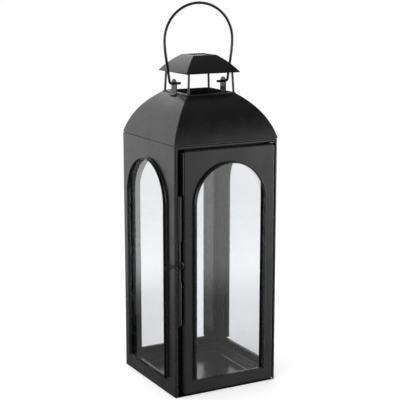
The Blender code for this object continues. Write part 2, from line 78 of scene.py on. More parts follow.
# Windows, their flared rims and their hems
SIDE_HALF, BACK_HALF, DOOR_HALF = 53 * MM, 51 * MM, 50.7 * MM
SILL, DOOR_SILL, ARCH_TOP = 21 * MM, 19.5 * MM, 302 * MM
FLARE = 4.8 * MM
FLARE_BEND = 1.6 * MM
FLARE_STEPS = 8
RIM_RADIUS = 0.85 * MM
ARCH_STEPS = 60
HEM_DEPTH = 4.2 * MM
HEM_DROP = 3 * MM
HEM_SHEET = 0.8 * MM
HEM_BEND = 0.6 * MM

# Panes and the strips that hold them
PANE = 2 * MM
PANE_INSET = 1.3 * MM
PANE_ROUND = 0.15 * MM
PANE_OVER_SILL = 0.1 * MM
STRIP_FOOT = 4 * MM
STRIP_CLEARANCE = 0.9 * MM
STRIP_RISE = 2.3 * MM
STRIP_BEND = 0.5 * MM
STRIP_LIP = 5.0 * MM
BACK_STRIP_LIP = 1.3 * MM

# How deep each wall and the door are folded, and the header over the door
LEFT_RETURN = 3.6 * MM
RIGHT_RETURN = 3.0 * MM
BACK_FOLD = 8 * MM
DOOR_FOLD = 7.5 * MM
DOOR_HINGE_FOLD = 3.5 * MM
HEADER_FACE = 2.8 * MM
# The fixed walls end here, a little lower than in CAD, which narrows the slit of light under them
WALL_FOOT = 0.2 * MM

# The tray's profile from its rim inward, as (inset, height) in mm, and the radius of its corners
TRAY_PROFILE = (
    (0.4, 10.0), (0.0, 9.6), (0.0, 3.0), (0.3, 2.2), (1.0, 1.6), (2.0, 1.5), (10.6, 1.5),
    (11.2, 1.75), (11.7, 1.75), (12.2, 1.4), (13.0, 0.3), (13.6, 0.05), (14.4, 0.0),
)
TRAY_CORNER = 1.2 * MM
PRESS_START, PRESS_MIDDLE = 9, 12
PRESS_CORNER, PRESS_TAPER = 3.0, 0.2

# The roof and its beaded eave, as (out past the eave, up from its foot) in mm
ROOF_ARC = 95 * MM
ROOF_STEPS = 36
ROOF_RISE = 1.2 * MM
ROOF_TOP_HALF, ROOF_TOP = 34.75 * MM, 384.5 * MM
HIP_ROUND = 1.1 * MM
EAVE_BEAD = ((-1.6, 0.15), (-0.3, -0.05), (0.25, 0.15), (0.35, 0.6), (0.15, 1.0))

# The seat between the roof and the walls. It reaches a little below the walls' top, which closes a gap
SEAT_INSET = 0.9 * MM
SEAT_WIDTH = 7.1 * MM
SEAT_SHOULDER = 0.3 * MM
SEAT_DROP = 0.35 * MM
SEAT_CORNER = 0.5 * MM

# The vent's rolled lip, as (out past its ring, up from its top) in mm
VENT_LIP = ((0.4, -1.5), (0.2, -0.9), (-0.4, -0.45), (-2.4, 0.2), (-3.0, 0.1), (-3.3, -0.4))
VENT_CORNER = 0.8 * MM

# The cap: its hem, where its arc starts and ends, and its four posts
CAP_ARC = 85 * MM
CAP_STEPS = 20
CAP_HEM_IN, CAP_HEM_UP = 0.7 * MM, 0.4 * MM
CAP_EDGE_IN, CAP_EDGE_Z = 0.1 * MM, 411.45 * MM
CAP_ARC_FOOT = 411.8 * MM
CAP_TOP_HALF = 17.1 * MM
CAP_ROUND = 0.4 * MM
CAP_SHEET = 0.8 * MM
CAP_CORNER = 0.8 * MM
# Over the cap's top edge and down into it, as (in from its half width, down from its top) in mm
CAP_RIM = ((0.3, 0.05), (0.8, 0.0), (2.6, 0.0), (2.9, 0.4))
POST_FOOT, POST_HEAD = 33 * MM, 31.4 * MM
POST_RADIUS = 1.5 * MM
POST_SINK = 0.8 * MM
ROD_SIDES = 24
ROD_ROUND = 0.25

# The ears and the handle that turns in them, with the angles in degrees
PIVOT = 397 * MM
EAR_HALF = 7.2 * MM
EAR_REACH = 36.3 * MM
EAR_BOTTOM = 384.6 * MM
EAR_ARCH_DROP = 1.2 * MM
EAR_ARCH_STEPS = 28
EAR_HOLE = 2.3 * MM
EAR_HOLE_STEPS = 32
EAR_SHEET = 1.2 * MM
EAR_BEND = 1.5 * MM
EAR_BEND_STEPS = 7
EAR_FOOT = 1.8 * MM
EAR_SLOPE = 35
HANDLE_RADIUS = 1.75 * MM
HANDLE_ENDS = (27.5 * MM, 33 * MM)
HANDLE_FOOT = 43.2 * MM
HANDLE_BEND = 4 * MM
HANDLE_LEAN = 7
HANDLE_WIDE, HANDLE_WIDE_Z = 49.8 * MM, 452 * MM
HANDLE_TOP = 499.2 * MM
HANDLE_STEPS = 12
HANDLE_ARCH_STEPS = 32

# The latch: the rod's end as (radius, distance from its end) in mm, its guides and its pull
ROD_X, ROD_Y = -68.6 * MM, -75.4 * MM
ROD_END = ((0.05, 0.0), (1.3, 0.1), (1.9, 0.5), (2.05, 0.9), (1.9, 1.2), (1.3, 1.25))
GUIDE_RADIUS = 2.0 * MM
GUIDE_SHEET = 0.75 * MM
GUIDE_TAIL = 0.4 * MM
GUIDE_SWEEP = 310
GUIDE_STEPS = 36
PULL_RADIUS = 0.9 * MM
EYE_LEFT, EYE_RIGHT = -75.2 * MM, -65.0 * MM
EYE_RISE = 4.2 * MM
EYE_SWEEP = 155
EYE_STEPS = 20
NECK_HALF = 1.05 * MM
NECK_REACH, NECK_END = 2.2 * MM, 6 * MM
NECK_STEPS = 6
TAIL_HALF = 1.6 * MM
TAIL_START, TAIL_END = 9 * MM, 1 * MM
TIP_STEPS = 9

# The floor, its fade outward from its middle, and the lamp over it
FLOOR_RADIUS = 1.6
FLOOR_SIDES = 96
FLOOR_GLOW = 0.43
FADE_START, FADE_END = 0.45, 1.2
LAMP_PLACE = Vector((-0.3, 0.2, 1.8))
LAMP_SIZE = 1.6
LAMP_POWER = 13

BODY_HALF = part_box("left_panel")[1].y
BODY_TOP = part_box("left_panel")[1].z


# Materials


def new_material(name):
    material = bpy.data.materials.new(name)
    material.use_nodes = True
    tree = material.node_tree
    return material, tree, tree.nodes["Principled BSDF"]


def noise_node(tree, scale, detail, coordinates):
    noise = tree.nodes.new("ShaderNodeTexNoise")
    noise.inputs["Scale"].default_value = scale
    noise.inputs["Detail"].default_value = detail
    tree.links.new(coordinates, noise.inputs["Vector"])
    return noise.outputs["Fac"]


def math_node(tree, operation, *values, clamp=False):
    """A maths node whose inputs are numbers or other nodes' outputs."""
    node = tree.nodes.new("ShaderNodeMath")
    node.operation = operation
    node.use_clamp = clamp
    for value, socket in zip(values, node.inputs):
        if isinstance(value, float):
            socket.default_value = value
        else:
            tree.links.new(value, socket)
    return node.outputs[0]


def map_range(tree, source, low, high, from_low=0.0, from_high=1.0, smooth=False):
    node = tree.nodes.new("ShaderNodeMapRange")
    node.interpolation_type = "SMOOTHSTEP" if smooth else "LINEAR"
    node.inputs["From Min"].default_value = from_low
    node.inputs["From Max"].default_value = from_high
    node.inputs["To Min"].default_value = low
    node.inputs["To Max"].default_value = high
    tree.links.new(source, node.inputs["Value"])
    return node.outputs["Result"]


def mix_colour(tree, factor, first, second):
    node = tree.nodes.new("ShaderNodeMix")
    node.data_type = "RGBA"
    tree.links.new(factor, node.inputs["Factor"])
    for value, socket in ((first, node.inputs[6]), (second, node.inputs[7])):
        if isinstance(value, tuple):
            socket.default_value = (*value, 1.0)
        else:
            tree.links.new(value, socket)
    return node.outputs[2]


CLOUD_SCALE, SMEAR_SCALE, PEEL_SCALE, GRAIN_SCALE = 18, 45, 700, 3200
CLOUD_TONE = 1.25
ROUGHNESS_SPREAD = 0.05
GRAIN_SHARE = 0.3
PEEL_DEPTH = 0.05 * MM
# The part of the noise's range that is stretched to full, and the sharp edges that get a painted
# highlight
NOISE_LOW, NOISE_HIGH = 0.3, 0.7
EDGE_HIGHLIGHT_LOW, EDGE_HIGHLIGHT_HIGH = 0.53, 0.62
EDGE_HIGHLIGHT_MOST = 0.6


def coated_metal(name, colour, light, rough, peel, metallic=0.0, specular=0.37):
    """Paint on metal: faint cloudy tone, a painted highlight lighter on sharp edges, orange peel and fine
    grain.
    """
    material, tree, shader = new_material(name)
    place = tree.nodes.new("ShaderNodeTexCoord").outputs["Object"]
    cloud = map_range(tree, noise_node(tree, CLOUD_SCALE, 4, place), 0.0, 1.0, NOISE_LOW, NOISE_HIGH)
    tone = mix_colour(tree, cloud, colour, tuple(CLOUD_TONE * c for c in colour))
    edges = tree.nodes.new("ShaderNodeNewGeometry").outputs["Pointiness"]
    # Sharp edges are mixed toward the lighter colour: a painted highlight along them
    edge_highlight = map_range(tree, edges, 0.0, EDGE_HIGHLIGHT_MOST, EDGE_HIGHLIGHT_LOW, EDGE_HIGHLIGHT_HIGH)
    tree.links.new(mix_colour(tree, edge_highlight, tone, light), shader.inputs["Base Color"])
    smear = map_range(tree, noise_node(tree, SMEAR_SCALE, 5, place), rough - ROUGHNESS_SPREAD,
                      rough + ROUGHNESS_SPREAD, NOISE_LOW, NOISE_HIGH)
    tree.links.new(smear, shader.inputs["Roughness"])
    shader.inputs["Metallic"].default_value = metallic
    shader.inputs["Specular IOR Level"].default_value = specular
    coarse = noise_node(tree, PEEL_SCALE, 2, place)
    fine = noise_node(tree, GRAIN_SCALE, 1, place)
    bump = tree.nodes.new("ShaderNodeBump")
    bump.inputs["Strength"].default_value = peel
    bump.inputs["Distance"].default_value = PEEL_DEPTH
    tree.links.new(math_node(tree, "MULTIPLY_ADD", fine, GRAIN_SHARE, coarse), bump.inputs["Height"])
    tree.links.new(bump.outputs["Normal"], shader.inputs["Normal"])
    return material


# The pane's tint, between these two, and how much more than plain Fresnel it mirrors
TINTS = ((0.896, 0.902, 0.909), (0.908, 0.913, 0.919))
GLASS_IOR = 1.5
GLASS_SHINE = 1.4
GLASS_ROUGHNESS = 0.015


def clear_glass():
    """A clear pane: it lets light straight through, and each face that is met from outside mirrors."""
    material, tree, shader = new_material("clear_glass_pane")
    tree.nodes.remove(shader)
    place = tree.nodes.new("ShaderNodeTexCoord").outputs["Object"]
    haze = noise_node(tree, 14, 3, place)
    clear = tree.nodes.new("ShaderNodeBsdfTransparent")
    tree.links.new(mix_colour(tree, haze, *TINTS), clear.inputs["Color"])
    mirror = tree.nodes.new("ShaderNodeBsdfGlossy")
    mirror.inputs["Roughness"].default_value = GLASS_ROUGHNESS
    mirror.inputs["Color"].default_value = WHITE
    fresnel = tree.nodes.new("ShaderNodeFresnel")
    fresnel.inputs["IOR"].default_value = GLASS_IOR
    behind = tree.nodes.new("ShaderNodeNewGeometry").outputs["Backfacing"]
    outside = math_node(tree, "SUBTRACT", 1.0, behind)
    share = math_node(tree, "MULTIPLY", fresnel.outputs["Fac"], outside)
    mix = tree.nodes.new("ShaderNodeMixShader")
    tree.links.new(math_node(tree, "MULTIPLY", share, GLASS_SHINE, clamp=True), mix.inputs["Fac"])
    tree.links.new(clear.outputs[0], mix.inputs[1])
    tree.links.new(mirror.outputs[0], mix.inputs[2])
    tree.links.new(mix.outputs[0], tree.nodes["Material Output"].inputs["Surface"])
    return material


materials = {
    BLACK: coated_metal("powder_coat", (0.006, 0.006, 0.0064), (0.03, 0.03, 0.031), 0.26, 0.12,
                        specular=0.31),
    STEEL: coated_metal("blackened_steel_wire", (0.02, 0.02, 0.021), (0.08, 0.08, 0.08), 0.28, 0.1,
                        metallic=0.3),
    GLASS: clear_glass(),
}
# The tray's coat is the walls' black made several times lighter, painted light on the lantern's floor,
# and smoother and shinier
painted_light_tray_coat = coated_metal("smoother_painted_light_tray_coat", (0.028, 0.028, 0.029), (0.04, 0.04, 0.041), 0.2, 0.07,
                         specular=0.7)


# Pieces


def link_object(name, data):
    obj = bpy.data.objects.new(name, data)
    bpy.context.scene.collection.objects.link(obj)
    return obj


def finished_mesh(bm, name):
    mesh = bpy.data.meshes.new(name)
    bm.to_mesh(mesh)
    bm.free()
    return mesh


def add_piece(name, mesh, body, slot, nodes, edge=EDGE_ROUND, sheet=None, offset=-1.0):
    """Links a piece, thickens and rounds it, and ties it to its body, slot and CAD nodes."""
    obj = link_object(name, mesh)
    mesh.materials.append(materials[slot])
    mesh.shade_smooth()
    if sheet:
        solidify = obj.modifiers.new("Sheet", "SOLIDIFY")
        solidify.thickness = sheet
        solidify.offset = offset
        solidify.use_even_offset = True
    if edge:
        bevel = obj.modifiers.new("Edges", "BEVEL")
        bevel.width = edge
        bevel.segments = 2
        bevel.limit_method = "ANGLE"
        bevel.angle_limit = math.radians(EDGE_ANGLE)
    weighted = obj.modifiers.new("Normals", "WEIGHTED_NORMAL")
    weighted.keep_sharp = True
    weighted.weight = 80
    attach(obj, body)
    if nodes:
        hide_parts(*nodes)
    return obj


def surface_mesh(bm, name, facing, turn=FRONT):
    """Merges the surface's points, faces an open one along facing, and turns it to its own wall."""
    bmesh.ops.remove_doubles(bm, verts=bm.verts, dist=MERGE_DISTANCE)
    bmesh.ops.recalc_face_normals(bm, faces=bm.faces)
    if facing and sum(face.normal.dot(Vector(facing)) * face.calc_area() for face in bm.faces) < 0:
        bmesh.ops.reverse_faces(bm, faces=bm.faces)
    bm.transform(Matrix.Rotation(math.radians(turn), 4, "Z"))
    return finished_mesh(bm, name)


def join_rows(bm, rows, closed=False):
    """Faces between each row of points and the next, with closed rows joined round."""
    for first, second in zip(rows, rows[1:]):
        count = len(first)
        for i in range(count if closed else count - 1):
            j = (i + 1) % count
            bm.faces.new((first[i], first[j], second[j], second[i]))


def rounded_path(points, radius, steps=BEND_STEPS):
    """A path of 2D points with each inner corner replaced by an arc."""
    path = [Vector(points[0])]
    for before, corner, after in zip(points, points[1:], points[2:]):
        before, corner, after = Vector(before), Vector(corner), Vector(after)
        back, ahead = (before - corner).normalized(), (after - corner).normalized()
        half = back.angle(ahead) / 2
        shorter = min((before - corner).length, (after - corner).length)
        reach = min(radius / math.tan(half), MOST_OF_LEG * shorter)
        centre = corner + (back + ahead).normalized() * (reach / math.cos(half))
        start, end = corner + back * reach - centre, corner + ahead * reach - centre
        sweep = start.angle_signed(end)
        for i in range(steps + 1):
            path.append(centre + Matrix.Rotation(-sweep * i / steps, 2) @ start)
    path.append(Vector(points[-1]))
    return path


def folded_strip(name, points, low, high, body, nodes, turn=FRONT, sheet=SHEET, bend=BEND, upright=True):
    """Folded sheet: a rounded path of (x, y) run up Z, or of (y, z) run along X."""
    bm = bmesh.new()
    rows = []
    for a, b in rounded_path(points, bend):
        ends = ((a, b, low), (a, b, high)) if upright else ((low, a, b), (high, a, b))
        rows.append([bm.verts.new(end) for end in ends])
    join_rows(bm, rows)
    mesh = surface_mesh(bm, name, (0, -1, 0), turn)
    return add_piece(name, mesh, body, BLACK, nodes, sheet=sheet, offset=0.0)


def round_rod(name, foot, head, radius, body, nodes):
    """A straight rod with softly rounded ends."""
    foot, head = Vector(foot), Vector(head)
    bm = bmesh.new()
    bmesh.ops.create_cone(bm, cap_ends=True, segments=ROD_SIDES, radius1=radius, radius2=radius,
                          depth=(head - foot).length)
    turn = (head - foot).to_track_quat("Z", "Y").to_matrix().to_4x4()
    bm.transform(Matrix.Translation((foot + head) / 2) @ turn)
    return add_piece(name, finished_mesh(bm, name), body, BLACK, nodes, edge=ROD_ROUND * radius)


def dome_end(bm, ring, place, neighbour, radius):
    """Closes a wire's end, which is at place, with a low dome that points away from its neighbour."""
    out = (place - neighbour).normalized()
    inner = [bm.verts.new(v.co + out * DOME_SHOULDER * radius - (v.co - place) * DOME_SHOULDER)
             for v in ring]
    tip = bm.verts.new(place + out * DOME_TIP * radius)
    join_rows(bm, [ring, inner], closed=True)
    for k, corner in enumerate(inner):
        bm.faces.new((corner, inner[(k + 1) % len(inner)], tip))


def wire(name, points, radius, body, nodes, cyclic=False, sides=14):
    """A round wire swept along the points, its ends domed."""
    points = [Vector(point) for point in points]
    count = len(points)
    bm = bmesh.new()
    rings = []
    up = None
    for i, point in enumerate(points):
        after = points[(i + 1) % count] if cyclic or i + 1 < count else point
        before = points[i - 1] if cyclic or i else point
        ahead = (after - before).normalized()
        up = up or ahead.orthogonal()
        up = (up - ahead * up.dot(ahead)).normalized()
        side = ahead.cross(up)
        ring = []
        for k in range(sides):
            angle = 2 * math.pi * k / sides
            ring.append(bm.verts.new(point + radius * (up * math.cos(angle) + side * math.sin(angle))))
        rings.append(ring)
    join_rows(bm, rings + rings[:1] if cyclic else rings, closed=True)
    if not cyclic:
        dome_end(bm, rings[0], points[0], points[1], radius)
        dome_end(bm, rings[-1], points[-1], points[-2], radius)
    bmesh.ops.recalc_face_normals(bm, faces=bm.faces)
    return add_piece(name, finished_mesh(bm, name), body, BLACK, nodes, edge=None)


def smooth_curve(points, steps):
    """Points along a smooth curve through the given ones."""
    points = [Vector(point) for point in points]
    padded = [2 * points[0] - points[1], *points, 2 * points[-1] - points[-2]]
    found = []
    for a, b, c, d in zip(padded, padded[1:], padded[2:], padded[3:]):
        for i in range(steps):
            t = i / steps
            found.append(0.5 * (2 * b + (c - a) * t + (2 * a - 5 * b + 4 * c - d) * t**2
                                + (3 * b - a - 3 * c + d) * t**3))
    return [*found, points[-1]]


def sweep(start, end, steps):
    """Evenly spaced angles in radians, from one angle in degrees to another."""
    return [math.radians(start + (end - start) * i / steps) for i in range(steps + 1)]


# Pressed panels, glass and hems


def window_path(half, centre, sill, arch_top, offset):
    """(u, z) up the window's left side, over its arch and down, offset outwards from it."""
    spring = arch_top - half
    radius = half + offset
    path = [(centre - radius, sill)]
    for i in range(ARCH_STEPS + 1):
        angle = math.pi * (1 - i / ARCH_STEPS)
        path.append((centre + radius * math.cos(angle), spring + radius * math.sin(angle)))
    path.append((centre + radius, sill))
    return path


def bend_rows(sign, edge, depth):
    """(place, inward) round the bend at a sheet's edge and down its fold. sign is the edge's side."""
    rows = []
    for i in range(1, BEND_STEPS + 1):
        angle = math.pi / 2 * i / BEND_STEPS
        rows.append((edge - sign * BEND * (1 - math.sin(angle)), BEND * (1 - math.cos(angle))))
    return [*rows, (edge, depth)]


def pressed_panel(name, node, body, box, window, folds, turn):
    """A sheet with an arched window flared outward. box is its left, right, bottom and top edge."""
    left, right, bottom, top = box
    half, centre, sill, arch_top = window
    start = {side: BEND if side in folds else 0.0 for side in ("left", "right", "bottom", "top")}
    x0, x1 = left + start["left"], right - start["right"]
    z0, z1 = bottom + start["bottom"], top - start["top"]
    bm = bmesh.new()
    outline = [bm.verts.new((x, -BODY_HALF, z)) for x, z in ((x0, z0), (x1, z0), (x1, z1), (x0, z1))]
    rings = []
    profile = [(FLARE_BEND * (1 - math.sin(angle)), FLARE_BEND * (1 - math.cos(angle)))
               for angle in (math.pi / 2 * i / FLARE_STEPS for i in range(FLARE_STEPS + 1))]
    for out, height in [*profile, (0.0, FLARE - RIM_RADIUS)]:
        path = window_path(half, centre, sill, arch_top, out)
        rings.append([bm.verts.new((u, -BODY_HALF - height, z)) for u, z in path])
    hole = rings[0]
    edges = [bm.edges.new((outline[i], outline[(i + 1) % 4])) for i in range(4)]
    edges += [bm.edges.new((hole[i], hole[(i + 1) % len(hole)])) for i in range(len(hole))]
    bmesh.ops.triangle_fill(bm, use_beauty=True, use_dissolve=False, edges=edges)
    join_rows(bm, rings)
    sides = {"left": (outline[3], outline[0], -1, left), "right": (outline[1], outline[2], 1, right),
             "bottom": (outline[0], outline[1], -1, bottom), "top": (outline[2], outline[3], 1, top)}
    for side, depth in folds.items():
        first, second, sign, edge = sides[side]
        upright = side in ("left", "right")
        rows = [[first, second]]
        for place, inward in bend_rows(sign, edge, depth):
            spots = [(place, v.co.z) if upright else (v.co.x, place) for v in rows[0]]
            rows.append([bm.verts.new((x, -BODY_HALF + inward, z)) for x, z in spots])
        join_rows(bm, rows)
    mesh = surface_mesh(bm, name, (0, -1, 0), turn)
    add_piece(name, mesh, body, BLACK, [node], sheet=SHEET)
    spin = Matrix.Rotation(math.radians(turn), 3, "Z")
    rim = [spin @ Vector((u, RIM_RADIUS - BODY_HALF - FLARE, z))
           for u, z in window_path(half, centre, sill, arch_top, 0.5 * SHEET)]
    wire(name + "_rim", rim, RIM_RADIUS, body, [], sides=12)
    add_hem(name + "_sill_hem", body, half, centre, sill, turn)


def soft_box(name, low, high, body, slot, nodes, turn=FRONT, edge=EDGE_ROUND):
    """A flat bar or pane with rounded edges."""
    low, high = Vector(low), Vector(high)
    bm = bmesh.new()
    bmesh.ops.create_cube(bm, size=1.0)
    bmesh.ops.scale(bm, vec=high - low, verts=bm.verts)
    bmesh.ops.translate(bm, vec=(high + low) / 2, verts=bm.verts)
    bm.transform(Matrix.Rotation(math.radians(turn), 4, "Z"))
    return add_piece(name, finished_mesh(bm, name), body, slot, nodes, edge=edge)


def add_hem(name, body, half, centre, sill, turn):
    """The window's lower edge, turned inward under the glass."""
    face, fold = -BODY_HALF + HEM_SHEET / 2, sill - HEM_SHEET / 2
    points = [(face, sill - HEM_DROP), (face, fold), (-BODY_HALF + HEM_DEPTH, fold)]
    folded_strip(name, points, centre - half, centre + half, body, [], turn, HEM_SHEET, HEM_BEND,
                 upright=False)


def wall_box(node, turn):
    """A node's box as its wall sees it: lowest and highest (u, z), with u along the wall."""
    low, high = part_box(node)
    spin = Matrix.Rotation(math.radians(-turn), 3, "Z")
    a, b = spin @ low, spin @ high
    return min(a.x, b.x), max(a.x, b.x), low.z, high.z


def glaze(prefix, body, sill, turn, lip=STRIP_LIP):
    """The pane, which stands on the hem, and the folded strips that hold its sides."""
    left, right, bottom, top = wall_box(prefix + "_glass", turn)
    front = -BODY_HALF + PANE_INSET
    soft_box(prefix + "_pane", (left, front, sill + PANE_OVER_SILL), (right, front + PANE, top), body,
             GLASS, [prefix + "_glass"], turn, PANE_ROUND)
    base = front + THIN_SHEET / 2
    raised = base + STRIP_RISE
    for edge, side, word in ((left, -1, "a"), (right, 1, "b")):
        wall = edge + side * STRIP_CLEARANCE
        points = [(edge + side * STRIP_FOOT, base), (wall, base), (wall, raised),
                  (edge - side * lip, raised)]
        node = f"{prefix}_glass_strip_{word}"
        folded_strip(node + "_folded", points, bottom, top, body, [node], turn, THIN_SHEET, STRIP_BEND)


def window_of(node, turn, half, sill):
    """The window of a wall, centred as its pane is: half width, centre, sill and arch top."""
    left, right, _, _ = wall_box(node, turn)
    return half, (left + right) / 2, sill, ARCH_TOP


def add_walls():
    """The three fixed walls, each with its window, its side folds and its pane."""
    walls = (("left", LEFT, SIDE_HALF, {"right": LEFT_RETURN}, STRIP_LIP),
             ("right", RIGHT, SIDE_HALF, {"left": RIGHT_RETURN}, STRIP_LIP),
             ("back", BACK, BACK_HALF, {"left": BACK_FOLD, "right": BACK_FOLD}, BACK_STRIP_LIP))
    for word, turn, half, folds, lip in walls:
        window = window_of(word + "_glass", turn, half, SILL)
        left, right, _, top = wall_box(word + "_panel", turn)
        pressed_panel(word + "_wall", word + "_panel", "root", (left, right, WALL_FOOT, top), window,
                      folds, turn)
        glaze(word, "root", SILL, turn, lip)


def add_door():
    """The door's folded leaf with its window and pane."""
    window = window_of("door_glass", FRONT, DOOR_HALF, DOOR_SILL)
    folds = {"left": DOOR_FOLD, "right": DOOR_HINGE_FOLD, "top": DOOR_FOLD, "bottom": DOOR_FOLD}
    pressed_panel("door_leaf", "door_panel", "door", wall_box("door_panel", FRONT), window, folds, FRONT)
    glaze("door", "door", DOOR_SILL, FRONT)


def add_surround():
    """Header, jambs and sill around the door."""
    low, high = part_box("front_header")
    half = SHEET / 2
    points = [(low.y + half, high.z - HEADER_FACE), (low.y + half, high.z - half),
              (high.y - half, high.z - half), (high.y - half, low.z)]
    folded_strip("door_header", points, low.x, high.x, "root", ["front_header"], upright=False)
    low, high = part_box("front_sill")
    points = [(low.y, low.z + half), (high.y - half, low.z + half), (high.y - half, high.z)]
    folded_strip("door_sill", points, low.x, high.x, "root", ["front_sill"], upright=False)
    for word, side in (("latch_jamb", -1), ("hinge_jamb", 1)):
        low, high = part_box(word)
        outer, inner = (low.x, high.x) if side < 0 else (high.x, low.x)
        flank, back = outer - side * half, high.y - half
        points = [(flank, low.y), (flank, back), (inner, back)]
        folded_strip(word + "_folded", points, low.z, high.z, "root", [word])


def add_tray():
    """The floor of the lantern: a rim, a flat border and a field set off by a rounded press line."""
    low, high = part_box("base_tray")
    bm = bmesh.new()
    rows = []
    for inset, z in TRAY_PROFILE:
        corner, step = TRAY_CORNER, inset * MM
        if inset > PRESS_START:
            corner += (PRESS_CORNER - PRESS_TAPER * abs(inset - PRESS_MIDDLE)) * MM
        outline = rounded_rectangle(low.x + step, high.x - step, low.y + step, high.y - step, corner)
        rows.append([bm.verts.new((x, y, z * MM)) for x, y in outline])
    join_rows(bm, rows, closed=True)
    bm.faces.new(rows[-1])
    mesh = surface_mesh(bm, "floor_tray", (0, 0, -1))
    tray = add_piece("floor_tray", mesh, "root", BLACK, ["base_tray"], sheet=SHEET, edge=None)
    # The tray takes the lighter copy of the black: painted light on the floor of the lantern
    tray.data.materials[0] = painted_light_tray_coat


def rounded_rectangle(x0, x1, y0, y1, radius, steps=6):
    """(x, y) round a rectangle with rounded corners."""
    centres = ((x1 - radius, y1 - radius, 0), (x0 + radius, y1 - radius, 90),
               (x0 + radius, y0 + radius, 180), (x1 - radius, y0 + radius, 270))
    return [(x + radius * math.cos(angle), y + radius * math.sin(angle))
            for x, y, start in centres for angle in sweep(start, start + 90, steps)]


# Roof, vent and cap


def arc_points(radius, bottom, top, steps):
    """(half width, height) up an outward-bulging arc between two such points."""
    low, high = Vector(bottom), Vector(top)
    chord = high - low
    sagitta = math.sqrt(radius**2 - (chord.length / 2) ** 2)
    centre = (low + high) / 2 + Vector((-chord.y, chord.x)).normalized() * sagitta
    start = math.atan2(low.y - centre.y, low.x - centre.x)
    end = math.atan2(high.y - centre.y, high.x - centre.x)
    angles = [start + (end - start) * i / steps for i in range(steps + 1)]
    return [(centre.x + radius * math.cos(a), centre.y + radius * math.sin(a)) for a in angles]


def square_shell(name, profile, nodes, sheet, corner, facing=(0, 0, 1), edge=None):
    """A shell of rounded squares, each of a half width and a height, in one sheet."""
    bm = bmesh.new()
    rows = []
    for half, z in profile:
        outline = rounded_rectangle(-half, half, -half, half, min(corner, 0.5 * half), 5)
        rows.append([bm.verts.new((x, y, z)) for x, y in outline])
    join_rows(bm, rows, closed=True)
    mesh = surface_mesh(bm, name, facing)
    return add_piece(name, mesh, "root", BLACK, nodes, sheet=sheet, edge=edge)


def add_roof():
    """The dome with its beaded eave, the seat under it and the lip round the vent."""
    low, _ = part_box("roof_front")
    eave = -low.y
    bead = [(eave + out * MM, low.z + up * MM) for out, up in EAVE_BEAD]
    arc = arc_points(ROOF_ARC, (eave, low.z + ROOF_RISE), (ROOF_TOP_HALF, ROOF_TOP), ROOF_STEPS)
    square_shell("roof_dome", bead + arc, ["roof_front", "roof_right", "roof_back", "roof_left"], SHEET,
                 HIP_ROUND)
    _, base_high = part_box("roof_base_frame")
    seat, inner = eave - SEAT_INSET, base_high.x - SEAT_WIDTH
    foot, shoulder = BODY_TOP - SEAT_DROP, low.z + SEAT_SHOULDER
    seat_profile = [(seat, foot), (seat, shoulder), (base_high.x, shoulder), (base_high.x, base_high.z),
                    (inner, base_high.z), (inner, foot), (seat, foot)]
    square_shell("roof_seat", seat_profile, ["roof_base_frame"], None, SEAT_CORNER, None, EDGE_ROUND)
    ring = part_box("vent_curb")
    outer, rise = ring[1].x, ring[1].z
    lip = [(outer + out * MM, rise + up * MM) for out, up in VENT_LIP]
    lip.append((lip[-1][0], ring[0].z))
    square_shell("vent_lip", lip, ["vent_curb"], THIN_SHEET, VENT_CORNER)


def add_cap():
    """The cap with its turned-in top, the plate set in that, and the four posts."""
    low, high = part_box("vent_cap")
    eave = high.x
    hem = [(eave - CAP_HEM_IN, low.z + CAP_HEM_UP), (eave - CAP_EDGE_IN, CAP_EDGE_Z)]
    arc = arc_points(CAP_ARC, (eave, CAP_ARC_FOOT), (CAP_TOP_HALF, high.z - CAP_ROUND), CAP_STEPS)
    rim = [(CAP_TOP_HALF - inward * MM, high.z - down * MM) for inward, down in CAP_RIM]
    square_shell("cap_shell", hem + arc + rim, ["vent_cap"], CAP_SHEET, CAP_CORNER)
    low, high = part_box("vent_cap_plate")
    soft_box("cap_plate", low, high, "root", BLACK, ["vent_cap_plate"])
    for word, sx, sy in (("front_left", -1, -1), ("front_right", 1, -1), ("back_right", 1, 1),
                         ("back_left", -1, 1)):
        low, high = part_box("vent_post_" + word)
        foot = (sx * POST_FOOT, sy * POST_FOOT, low.z - POST_SINK)
        head = (sx * POST_HEAD, sy * POST_HEAD, high.z)
        round_rod("cap_post_" + word, foot, head, POST_RADIUS, "root", ["vent_post_" + word])


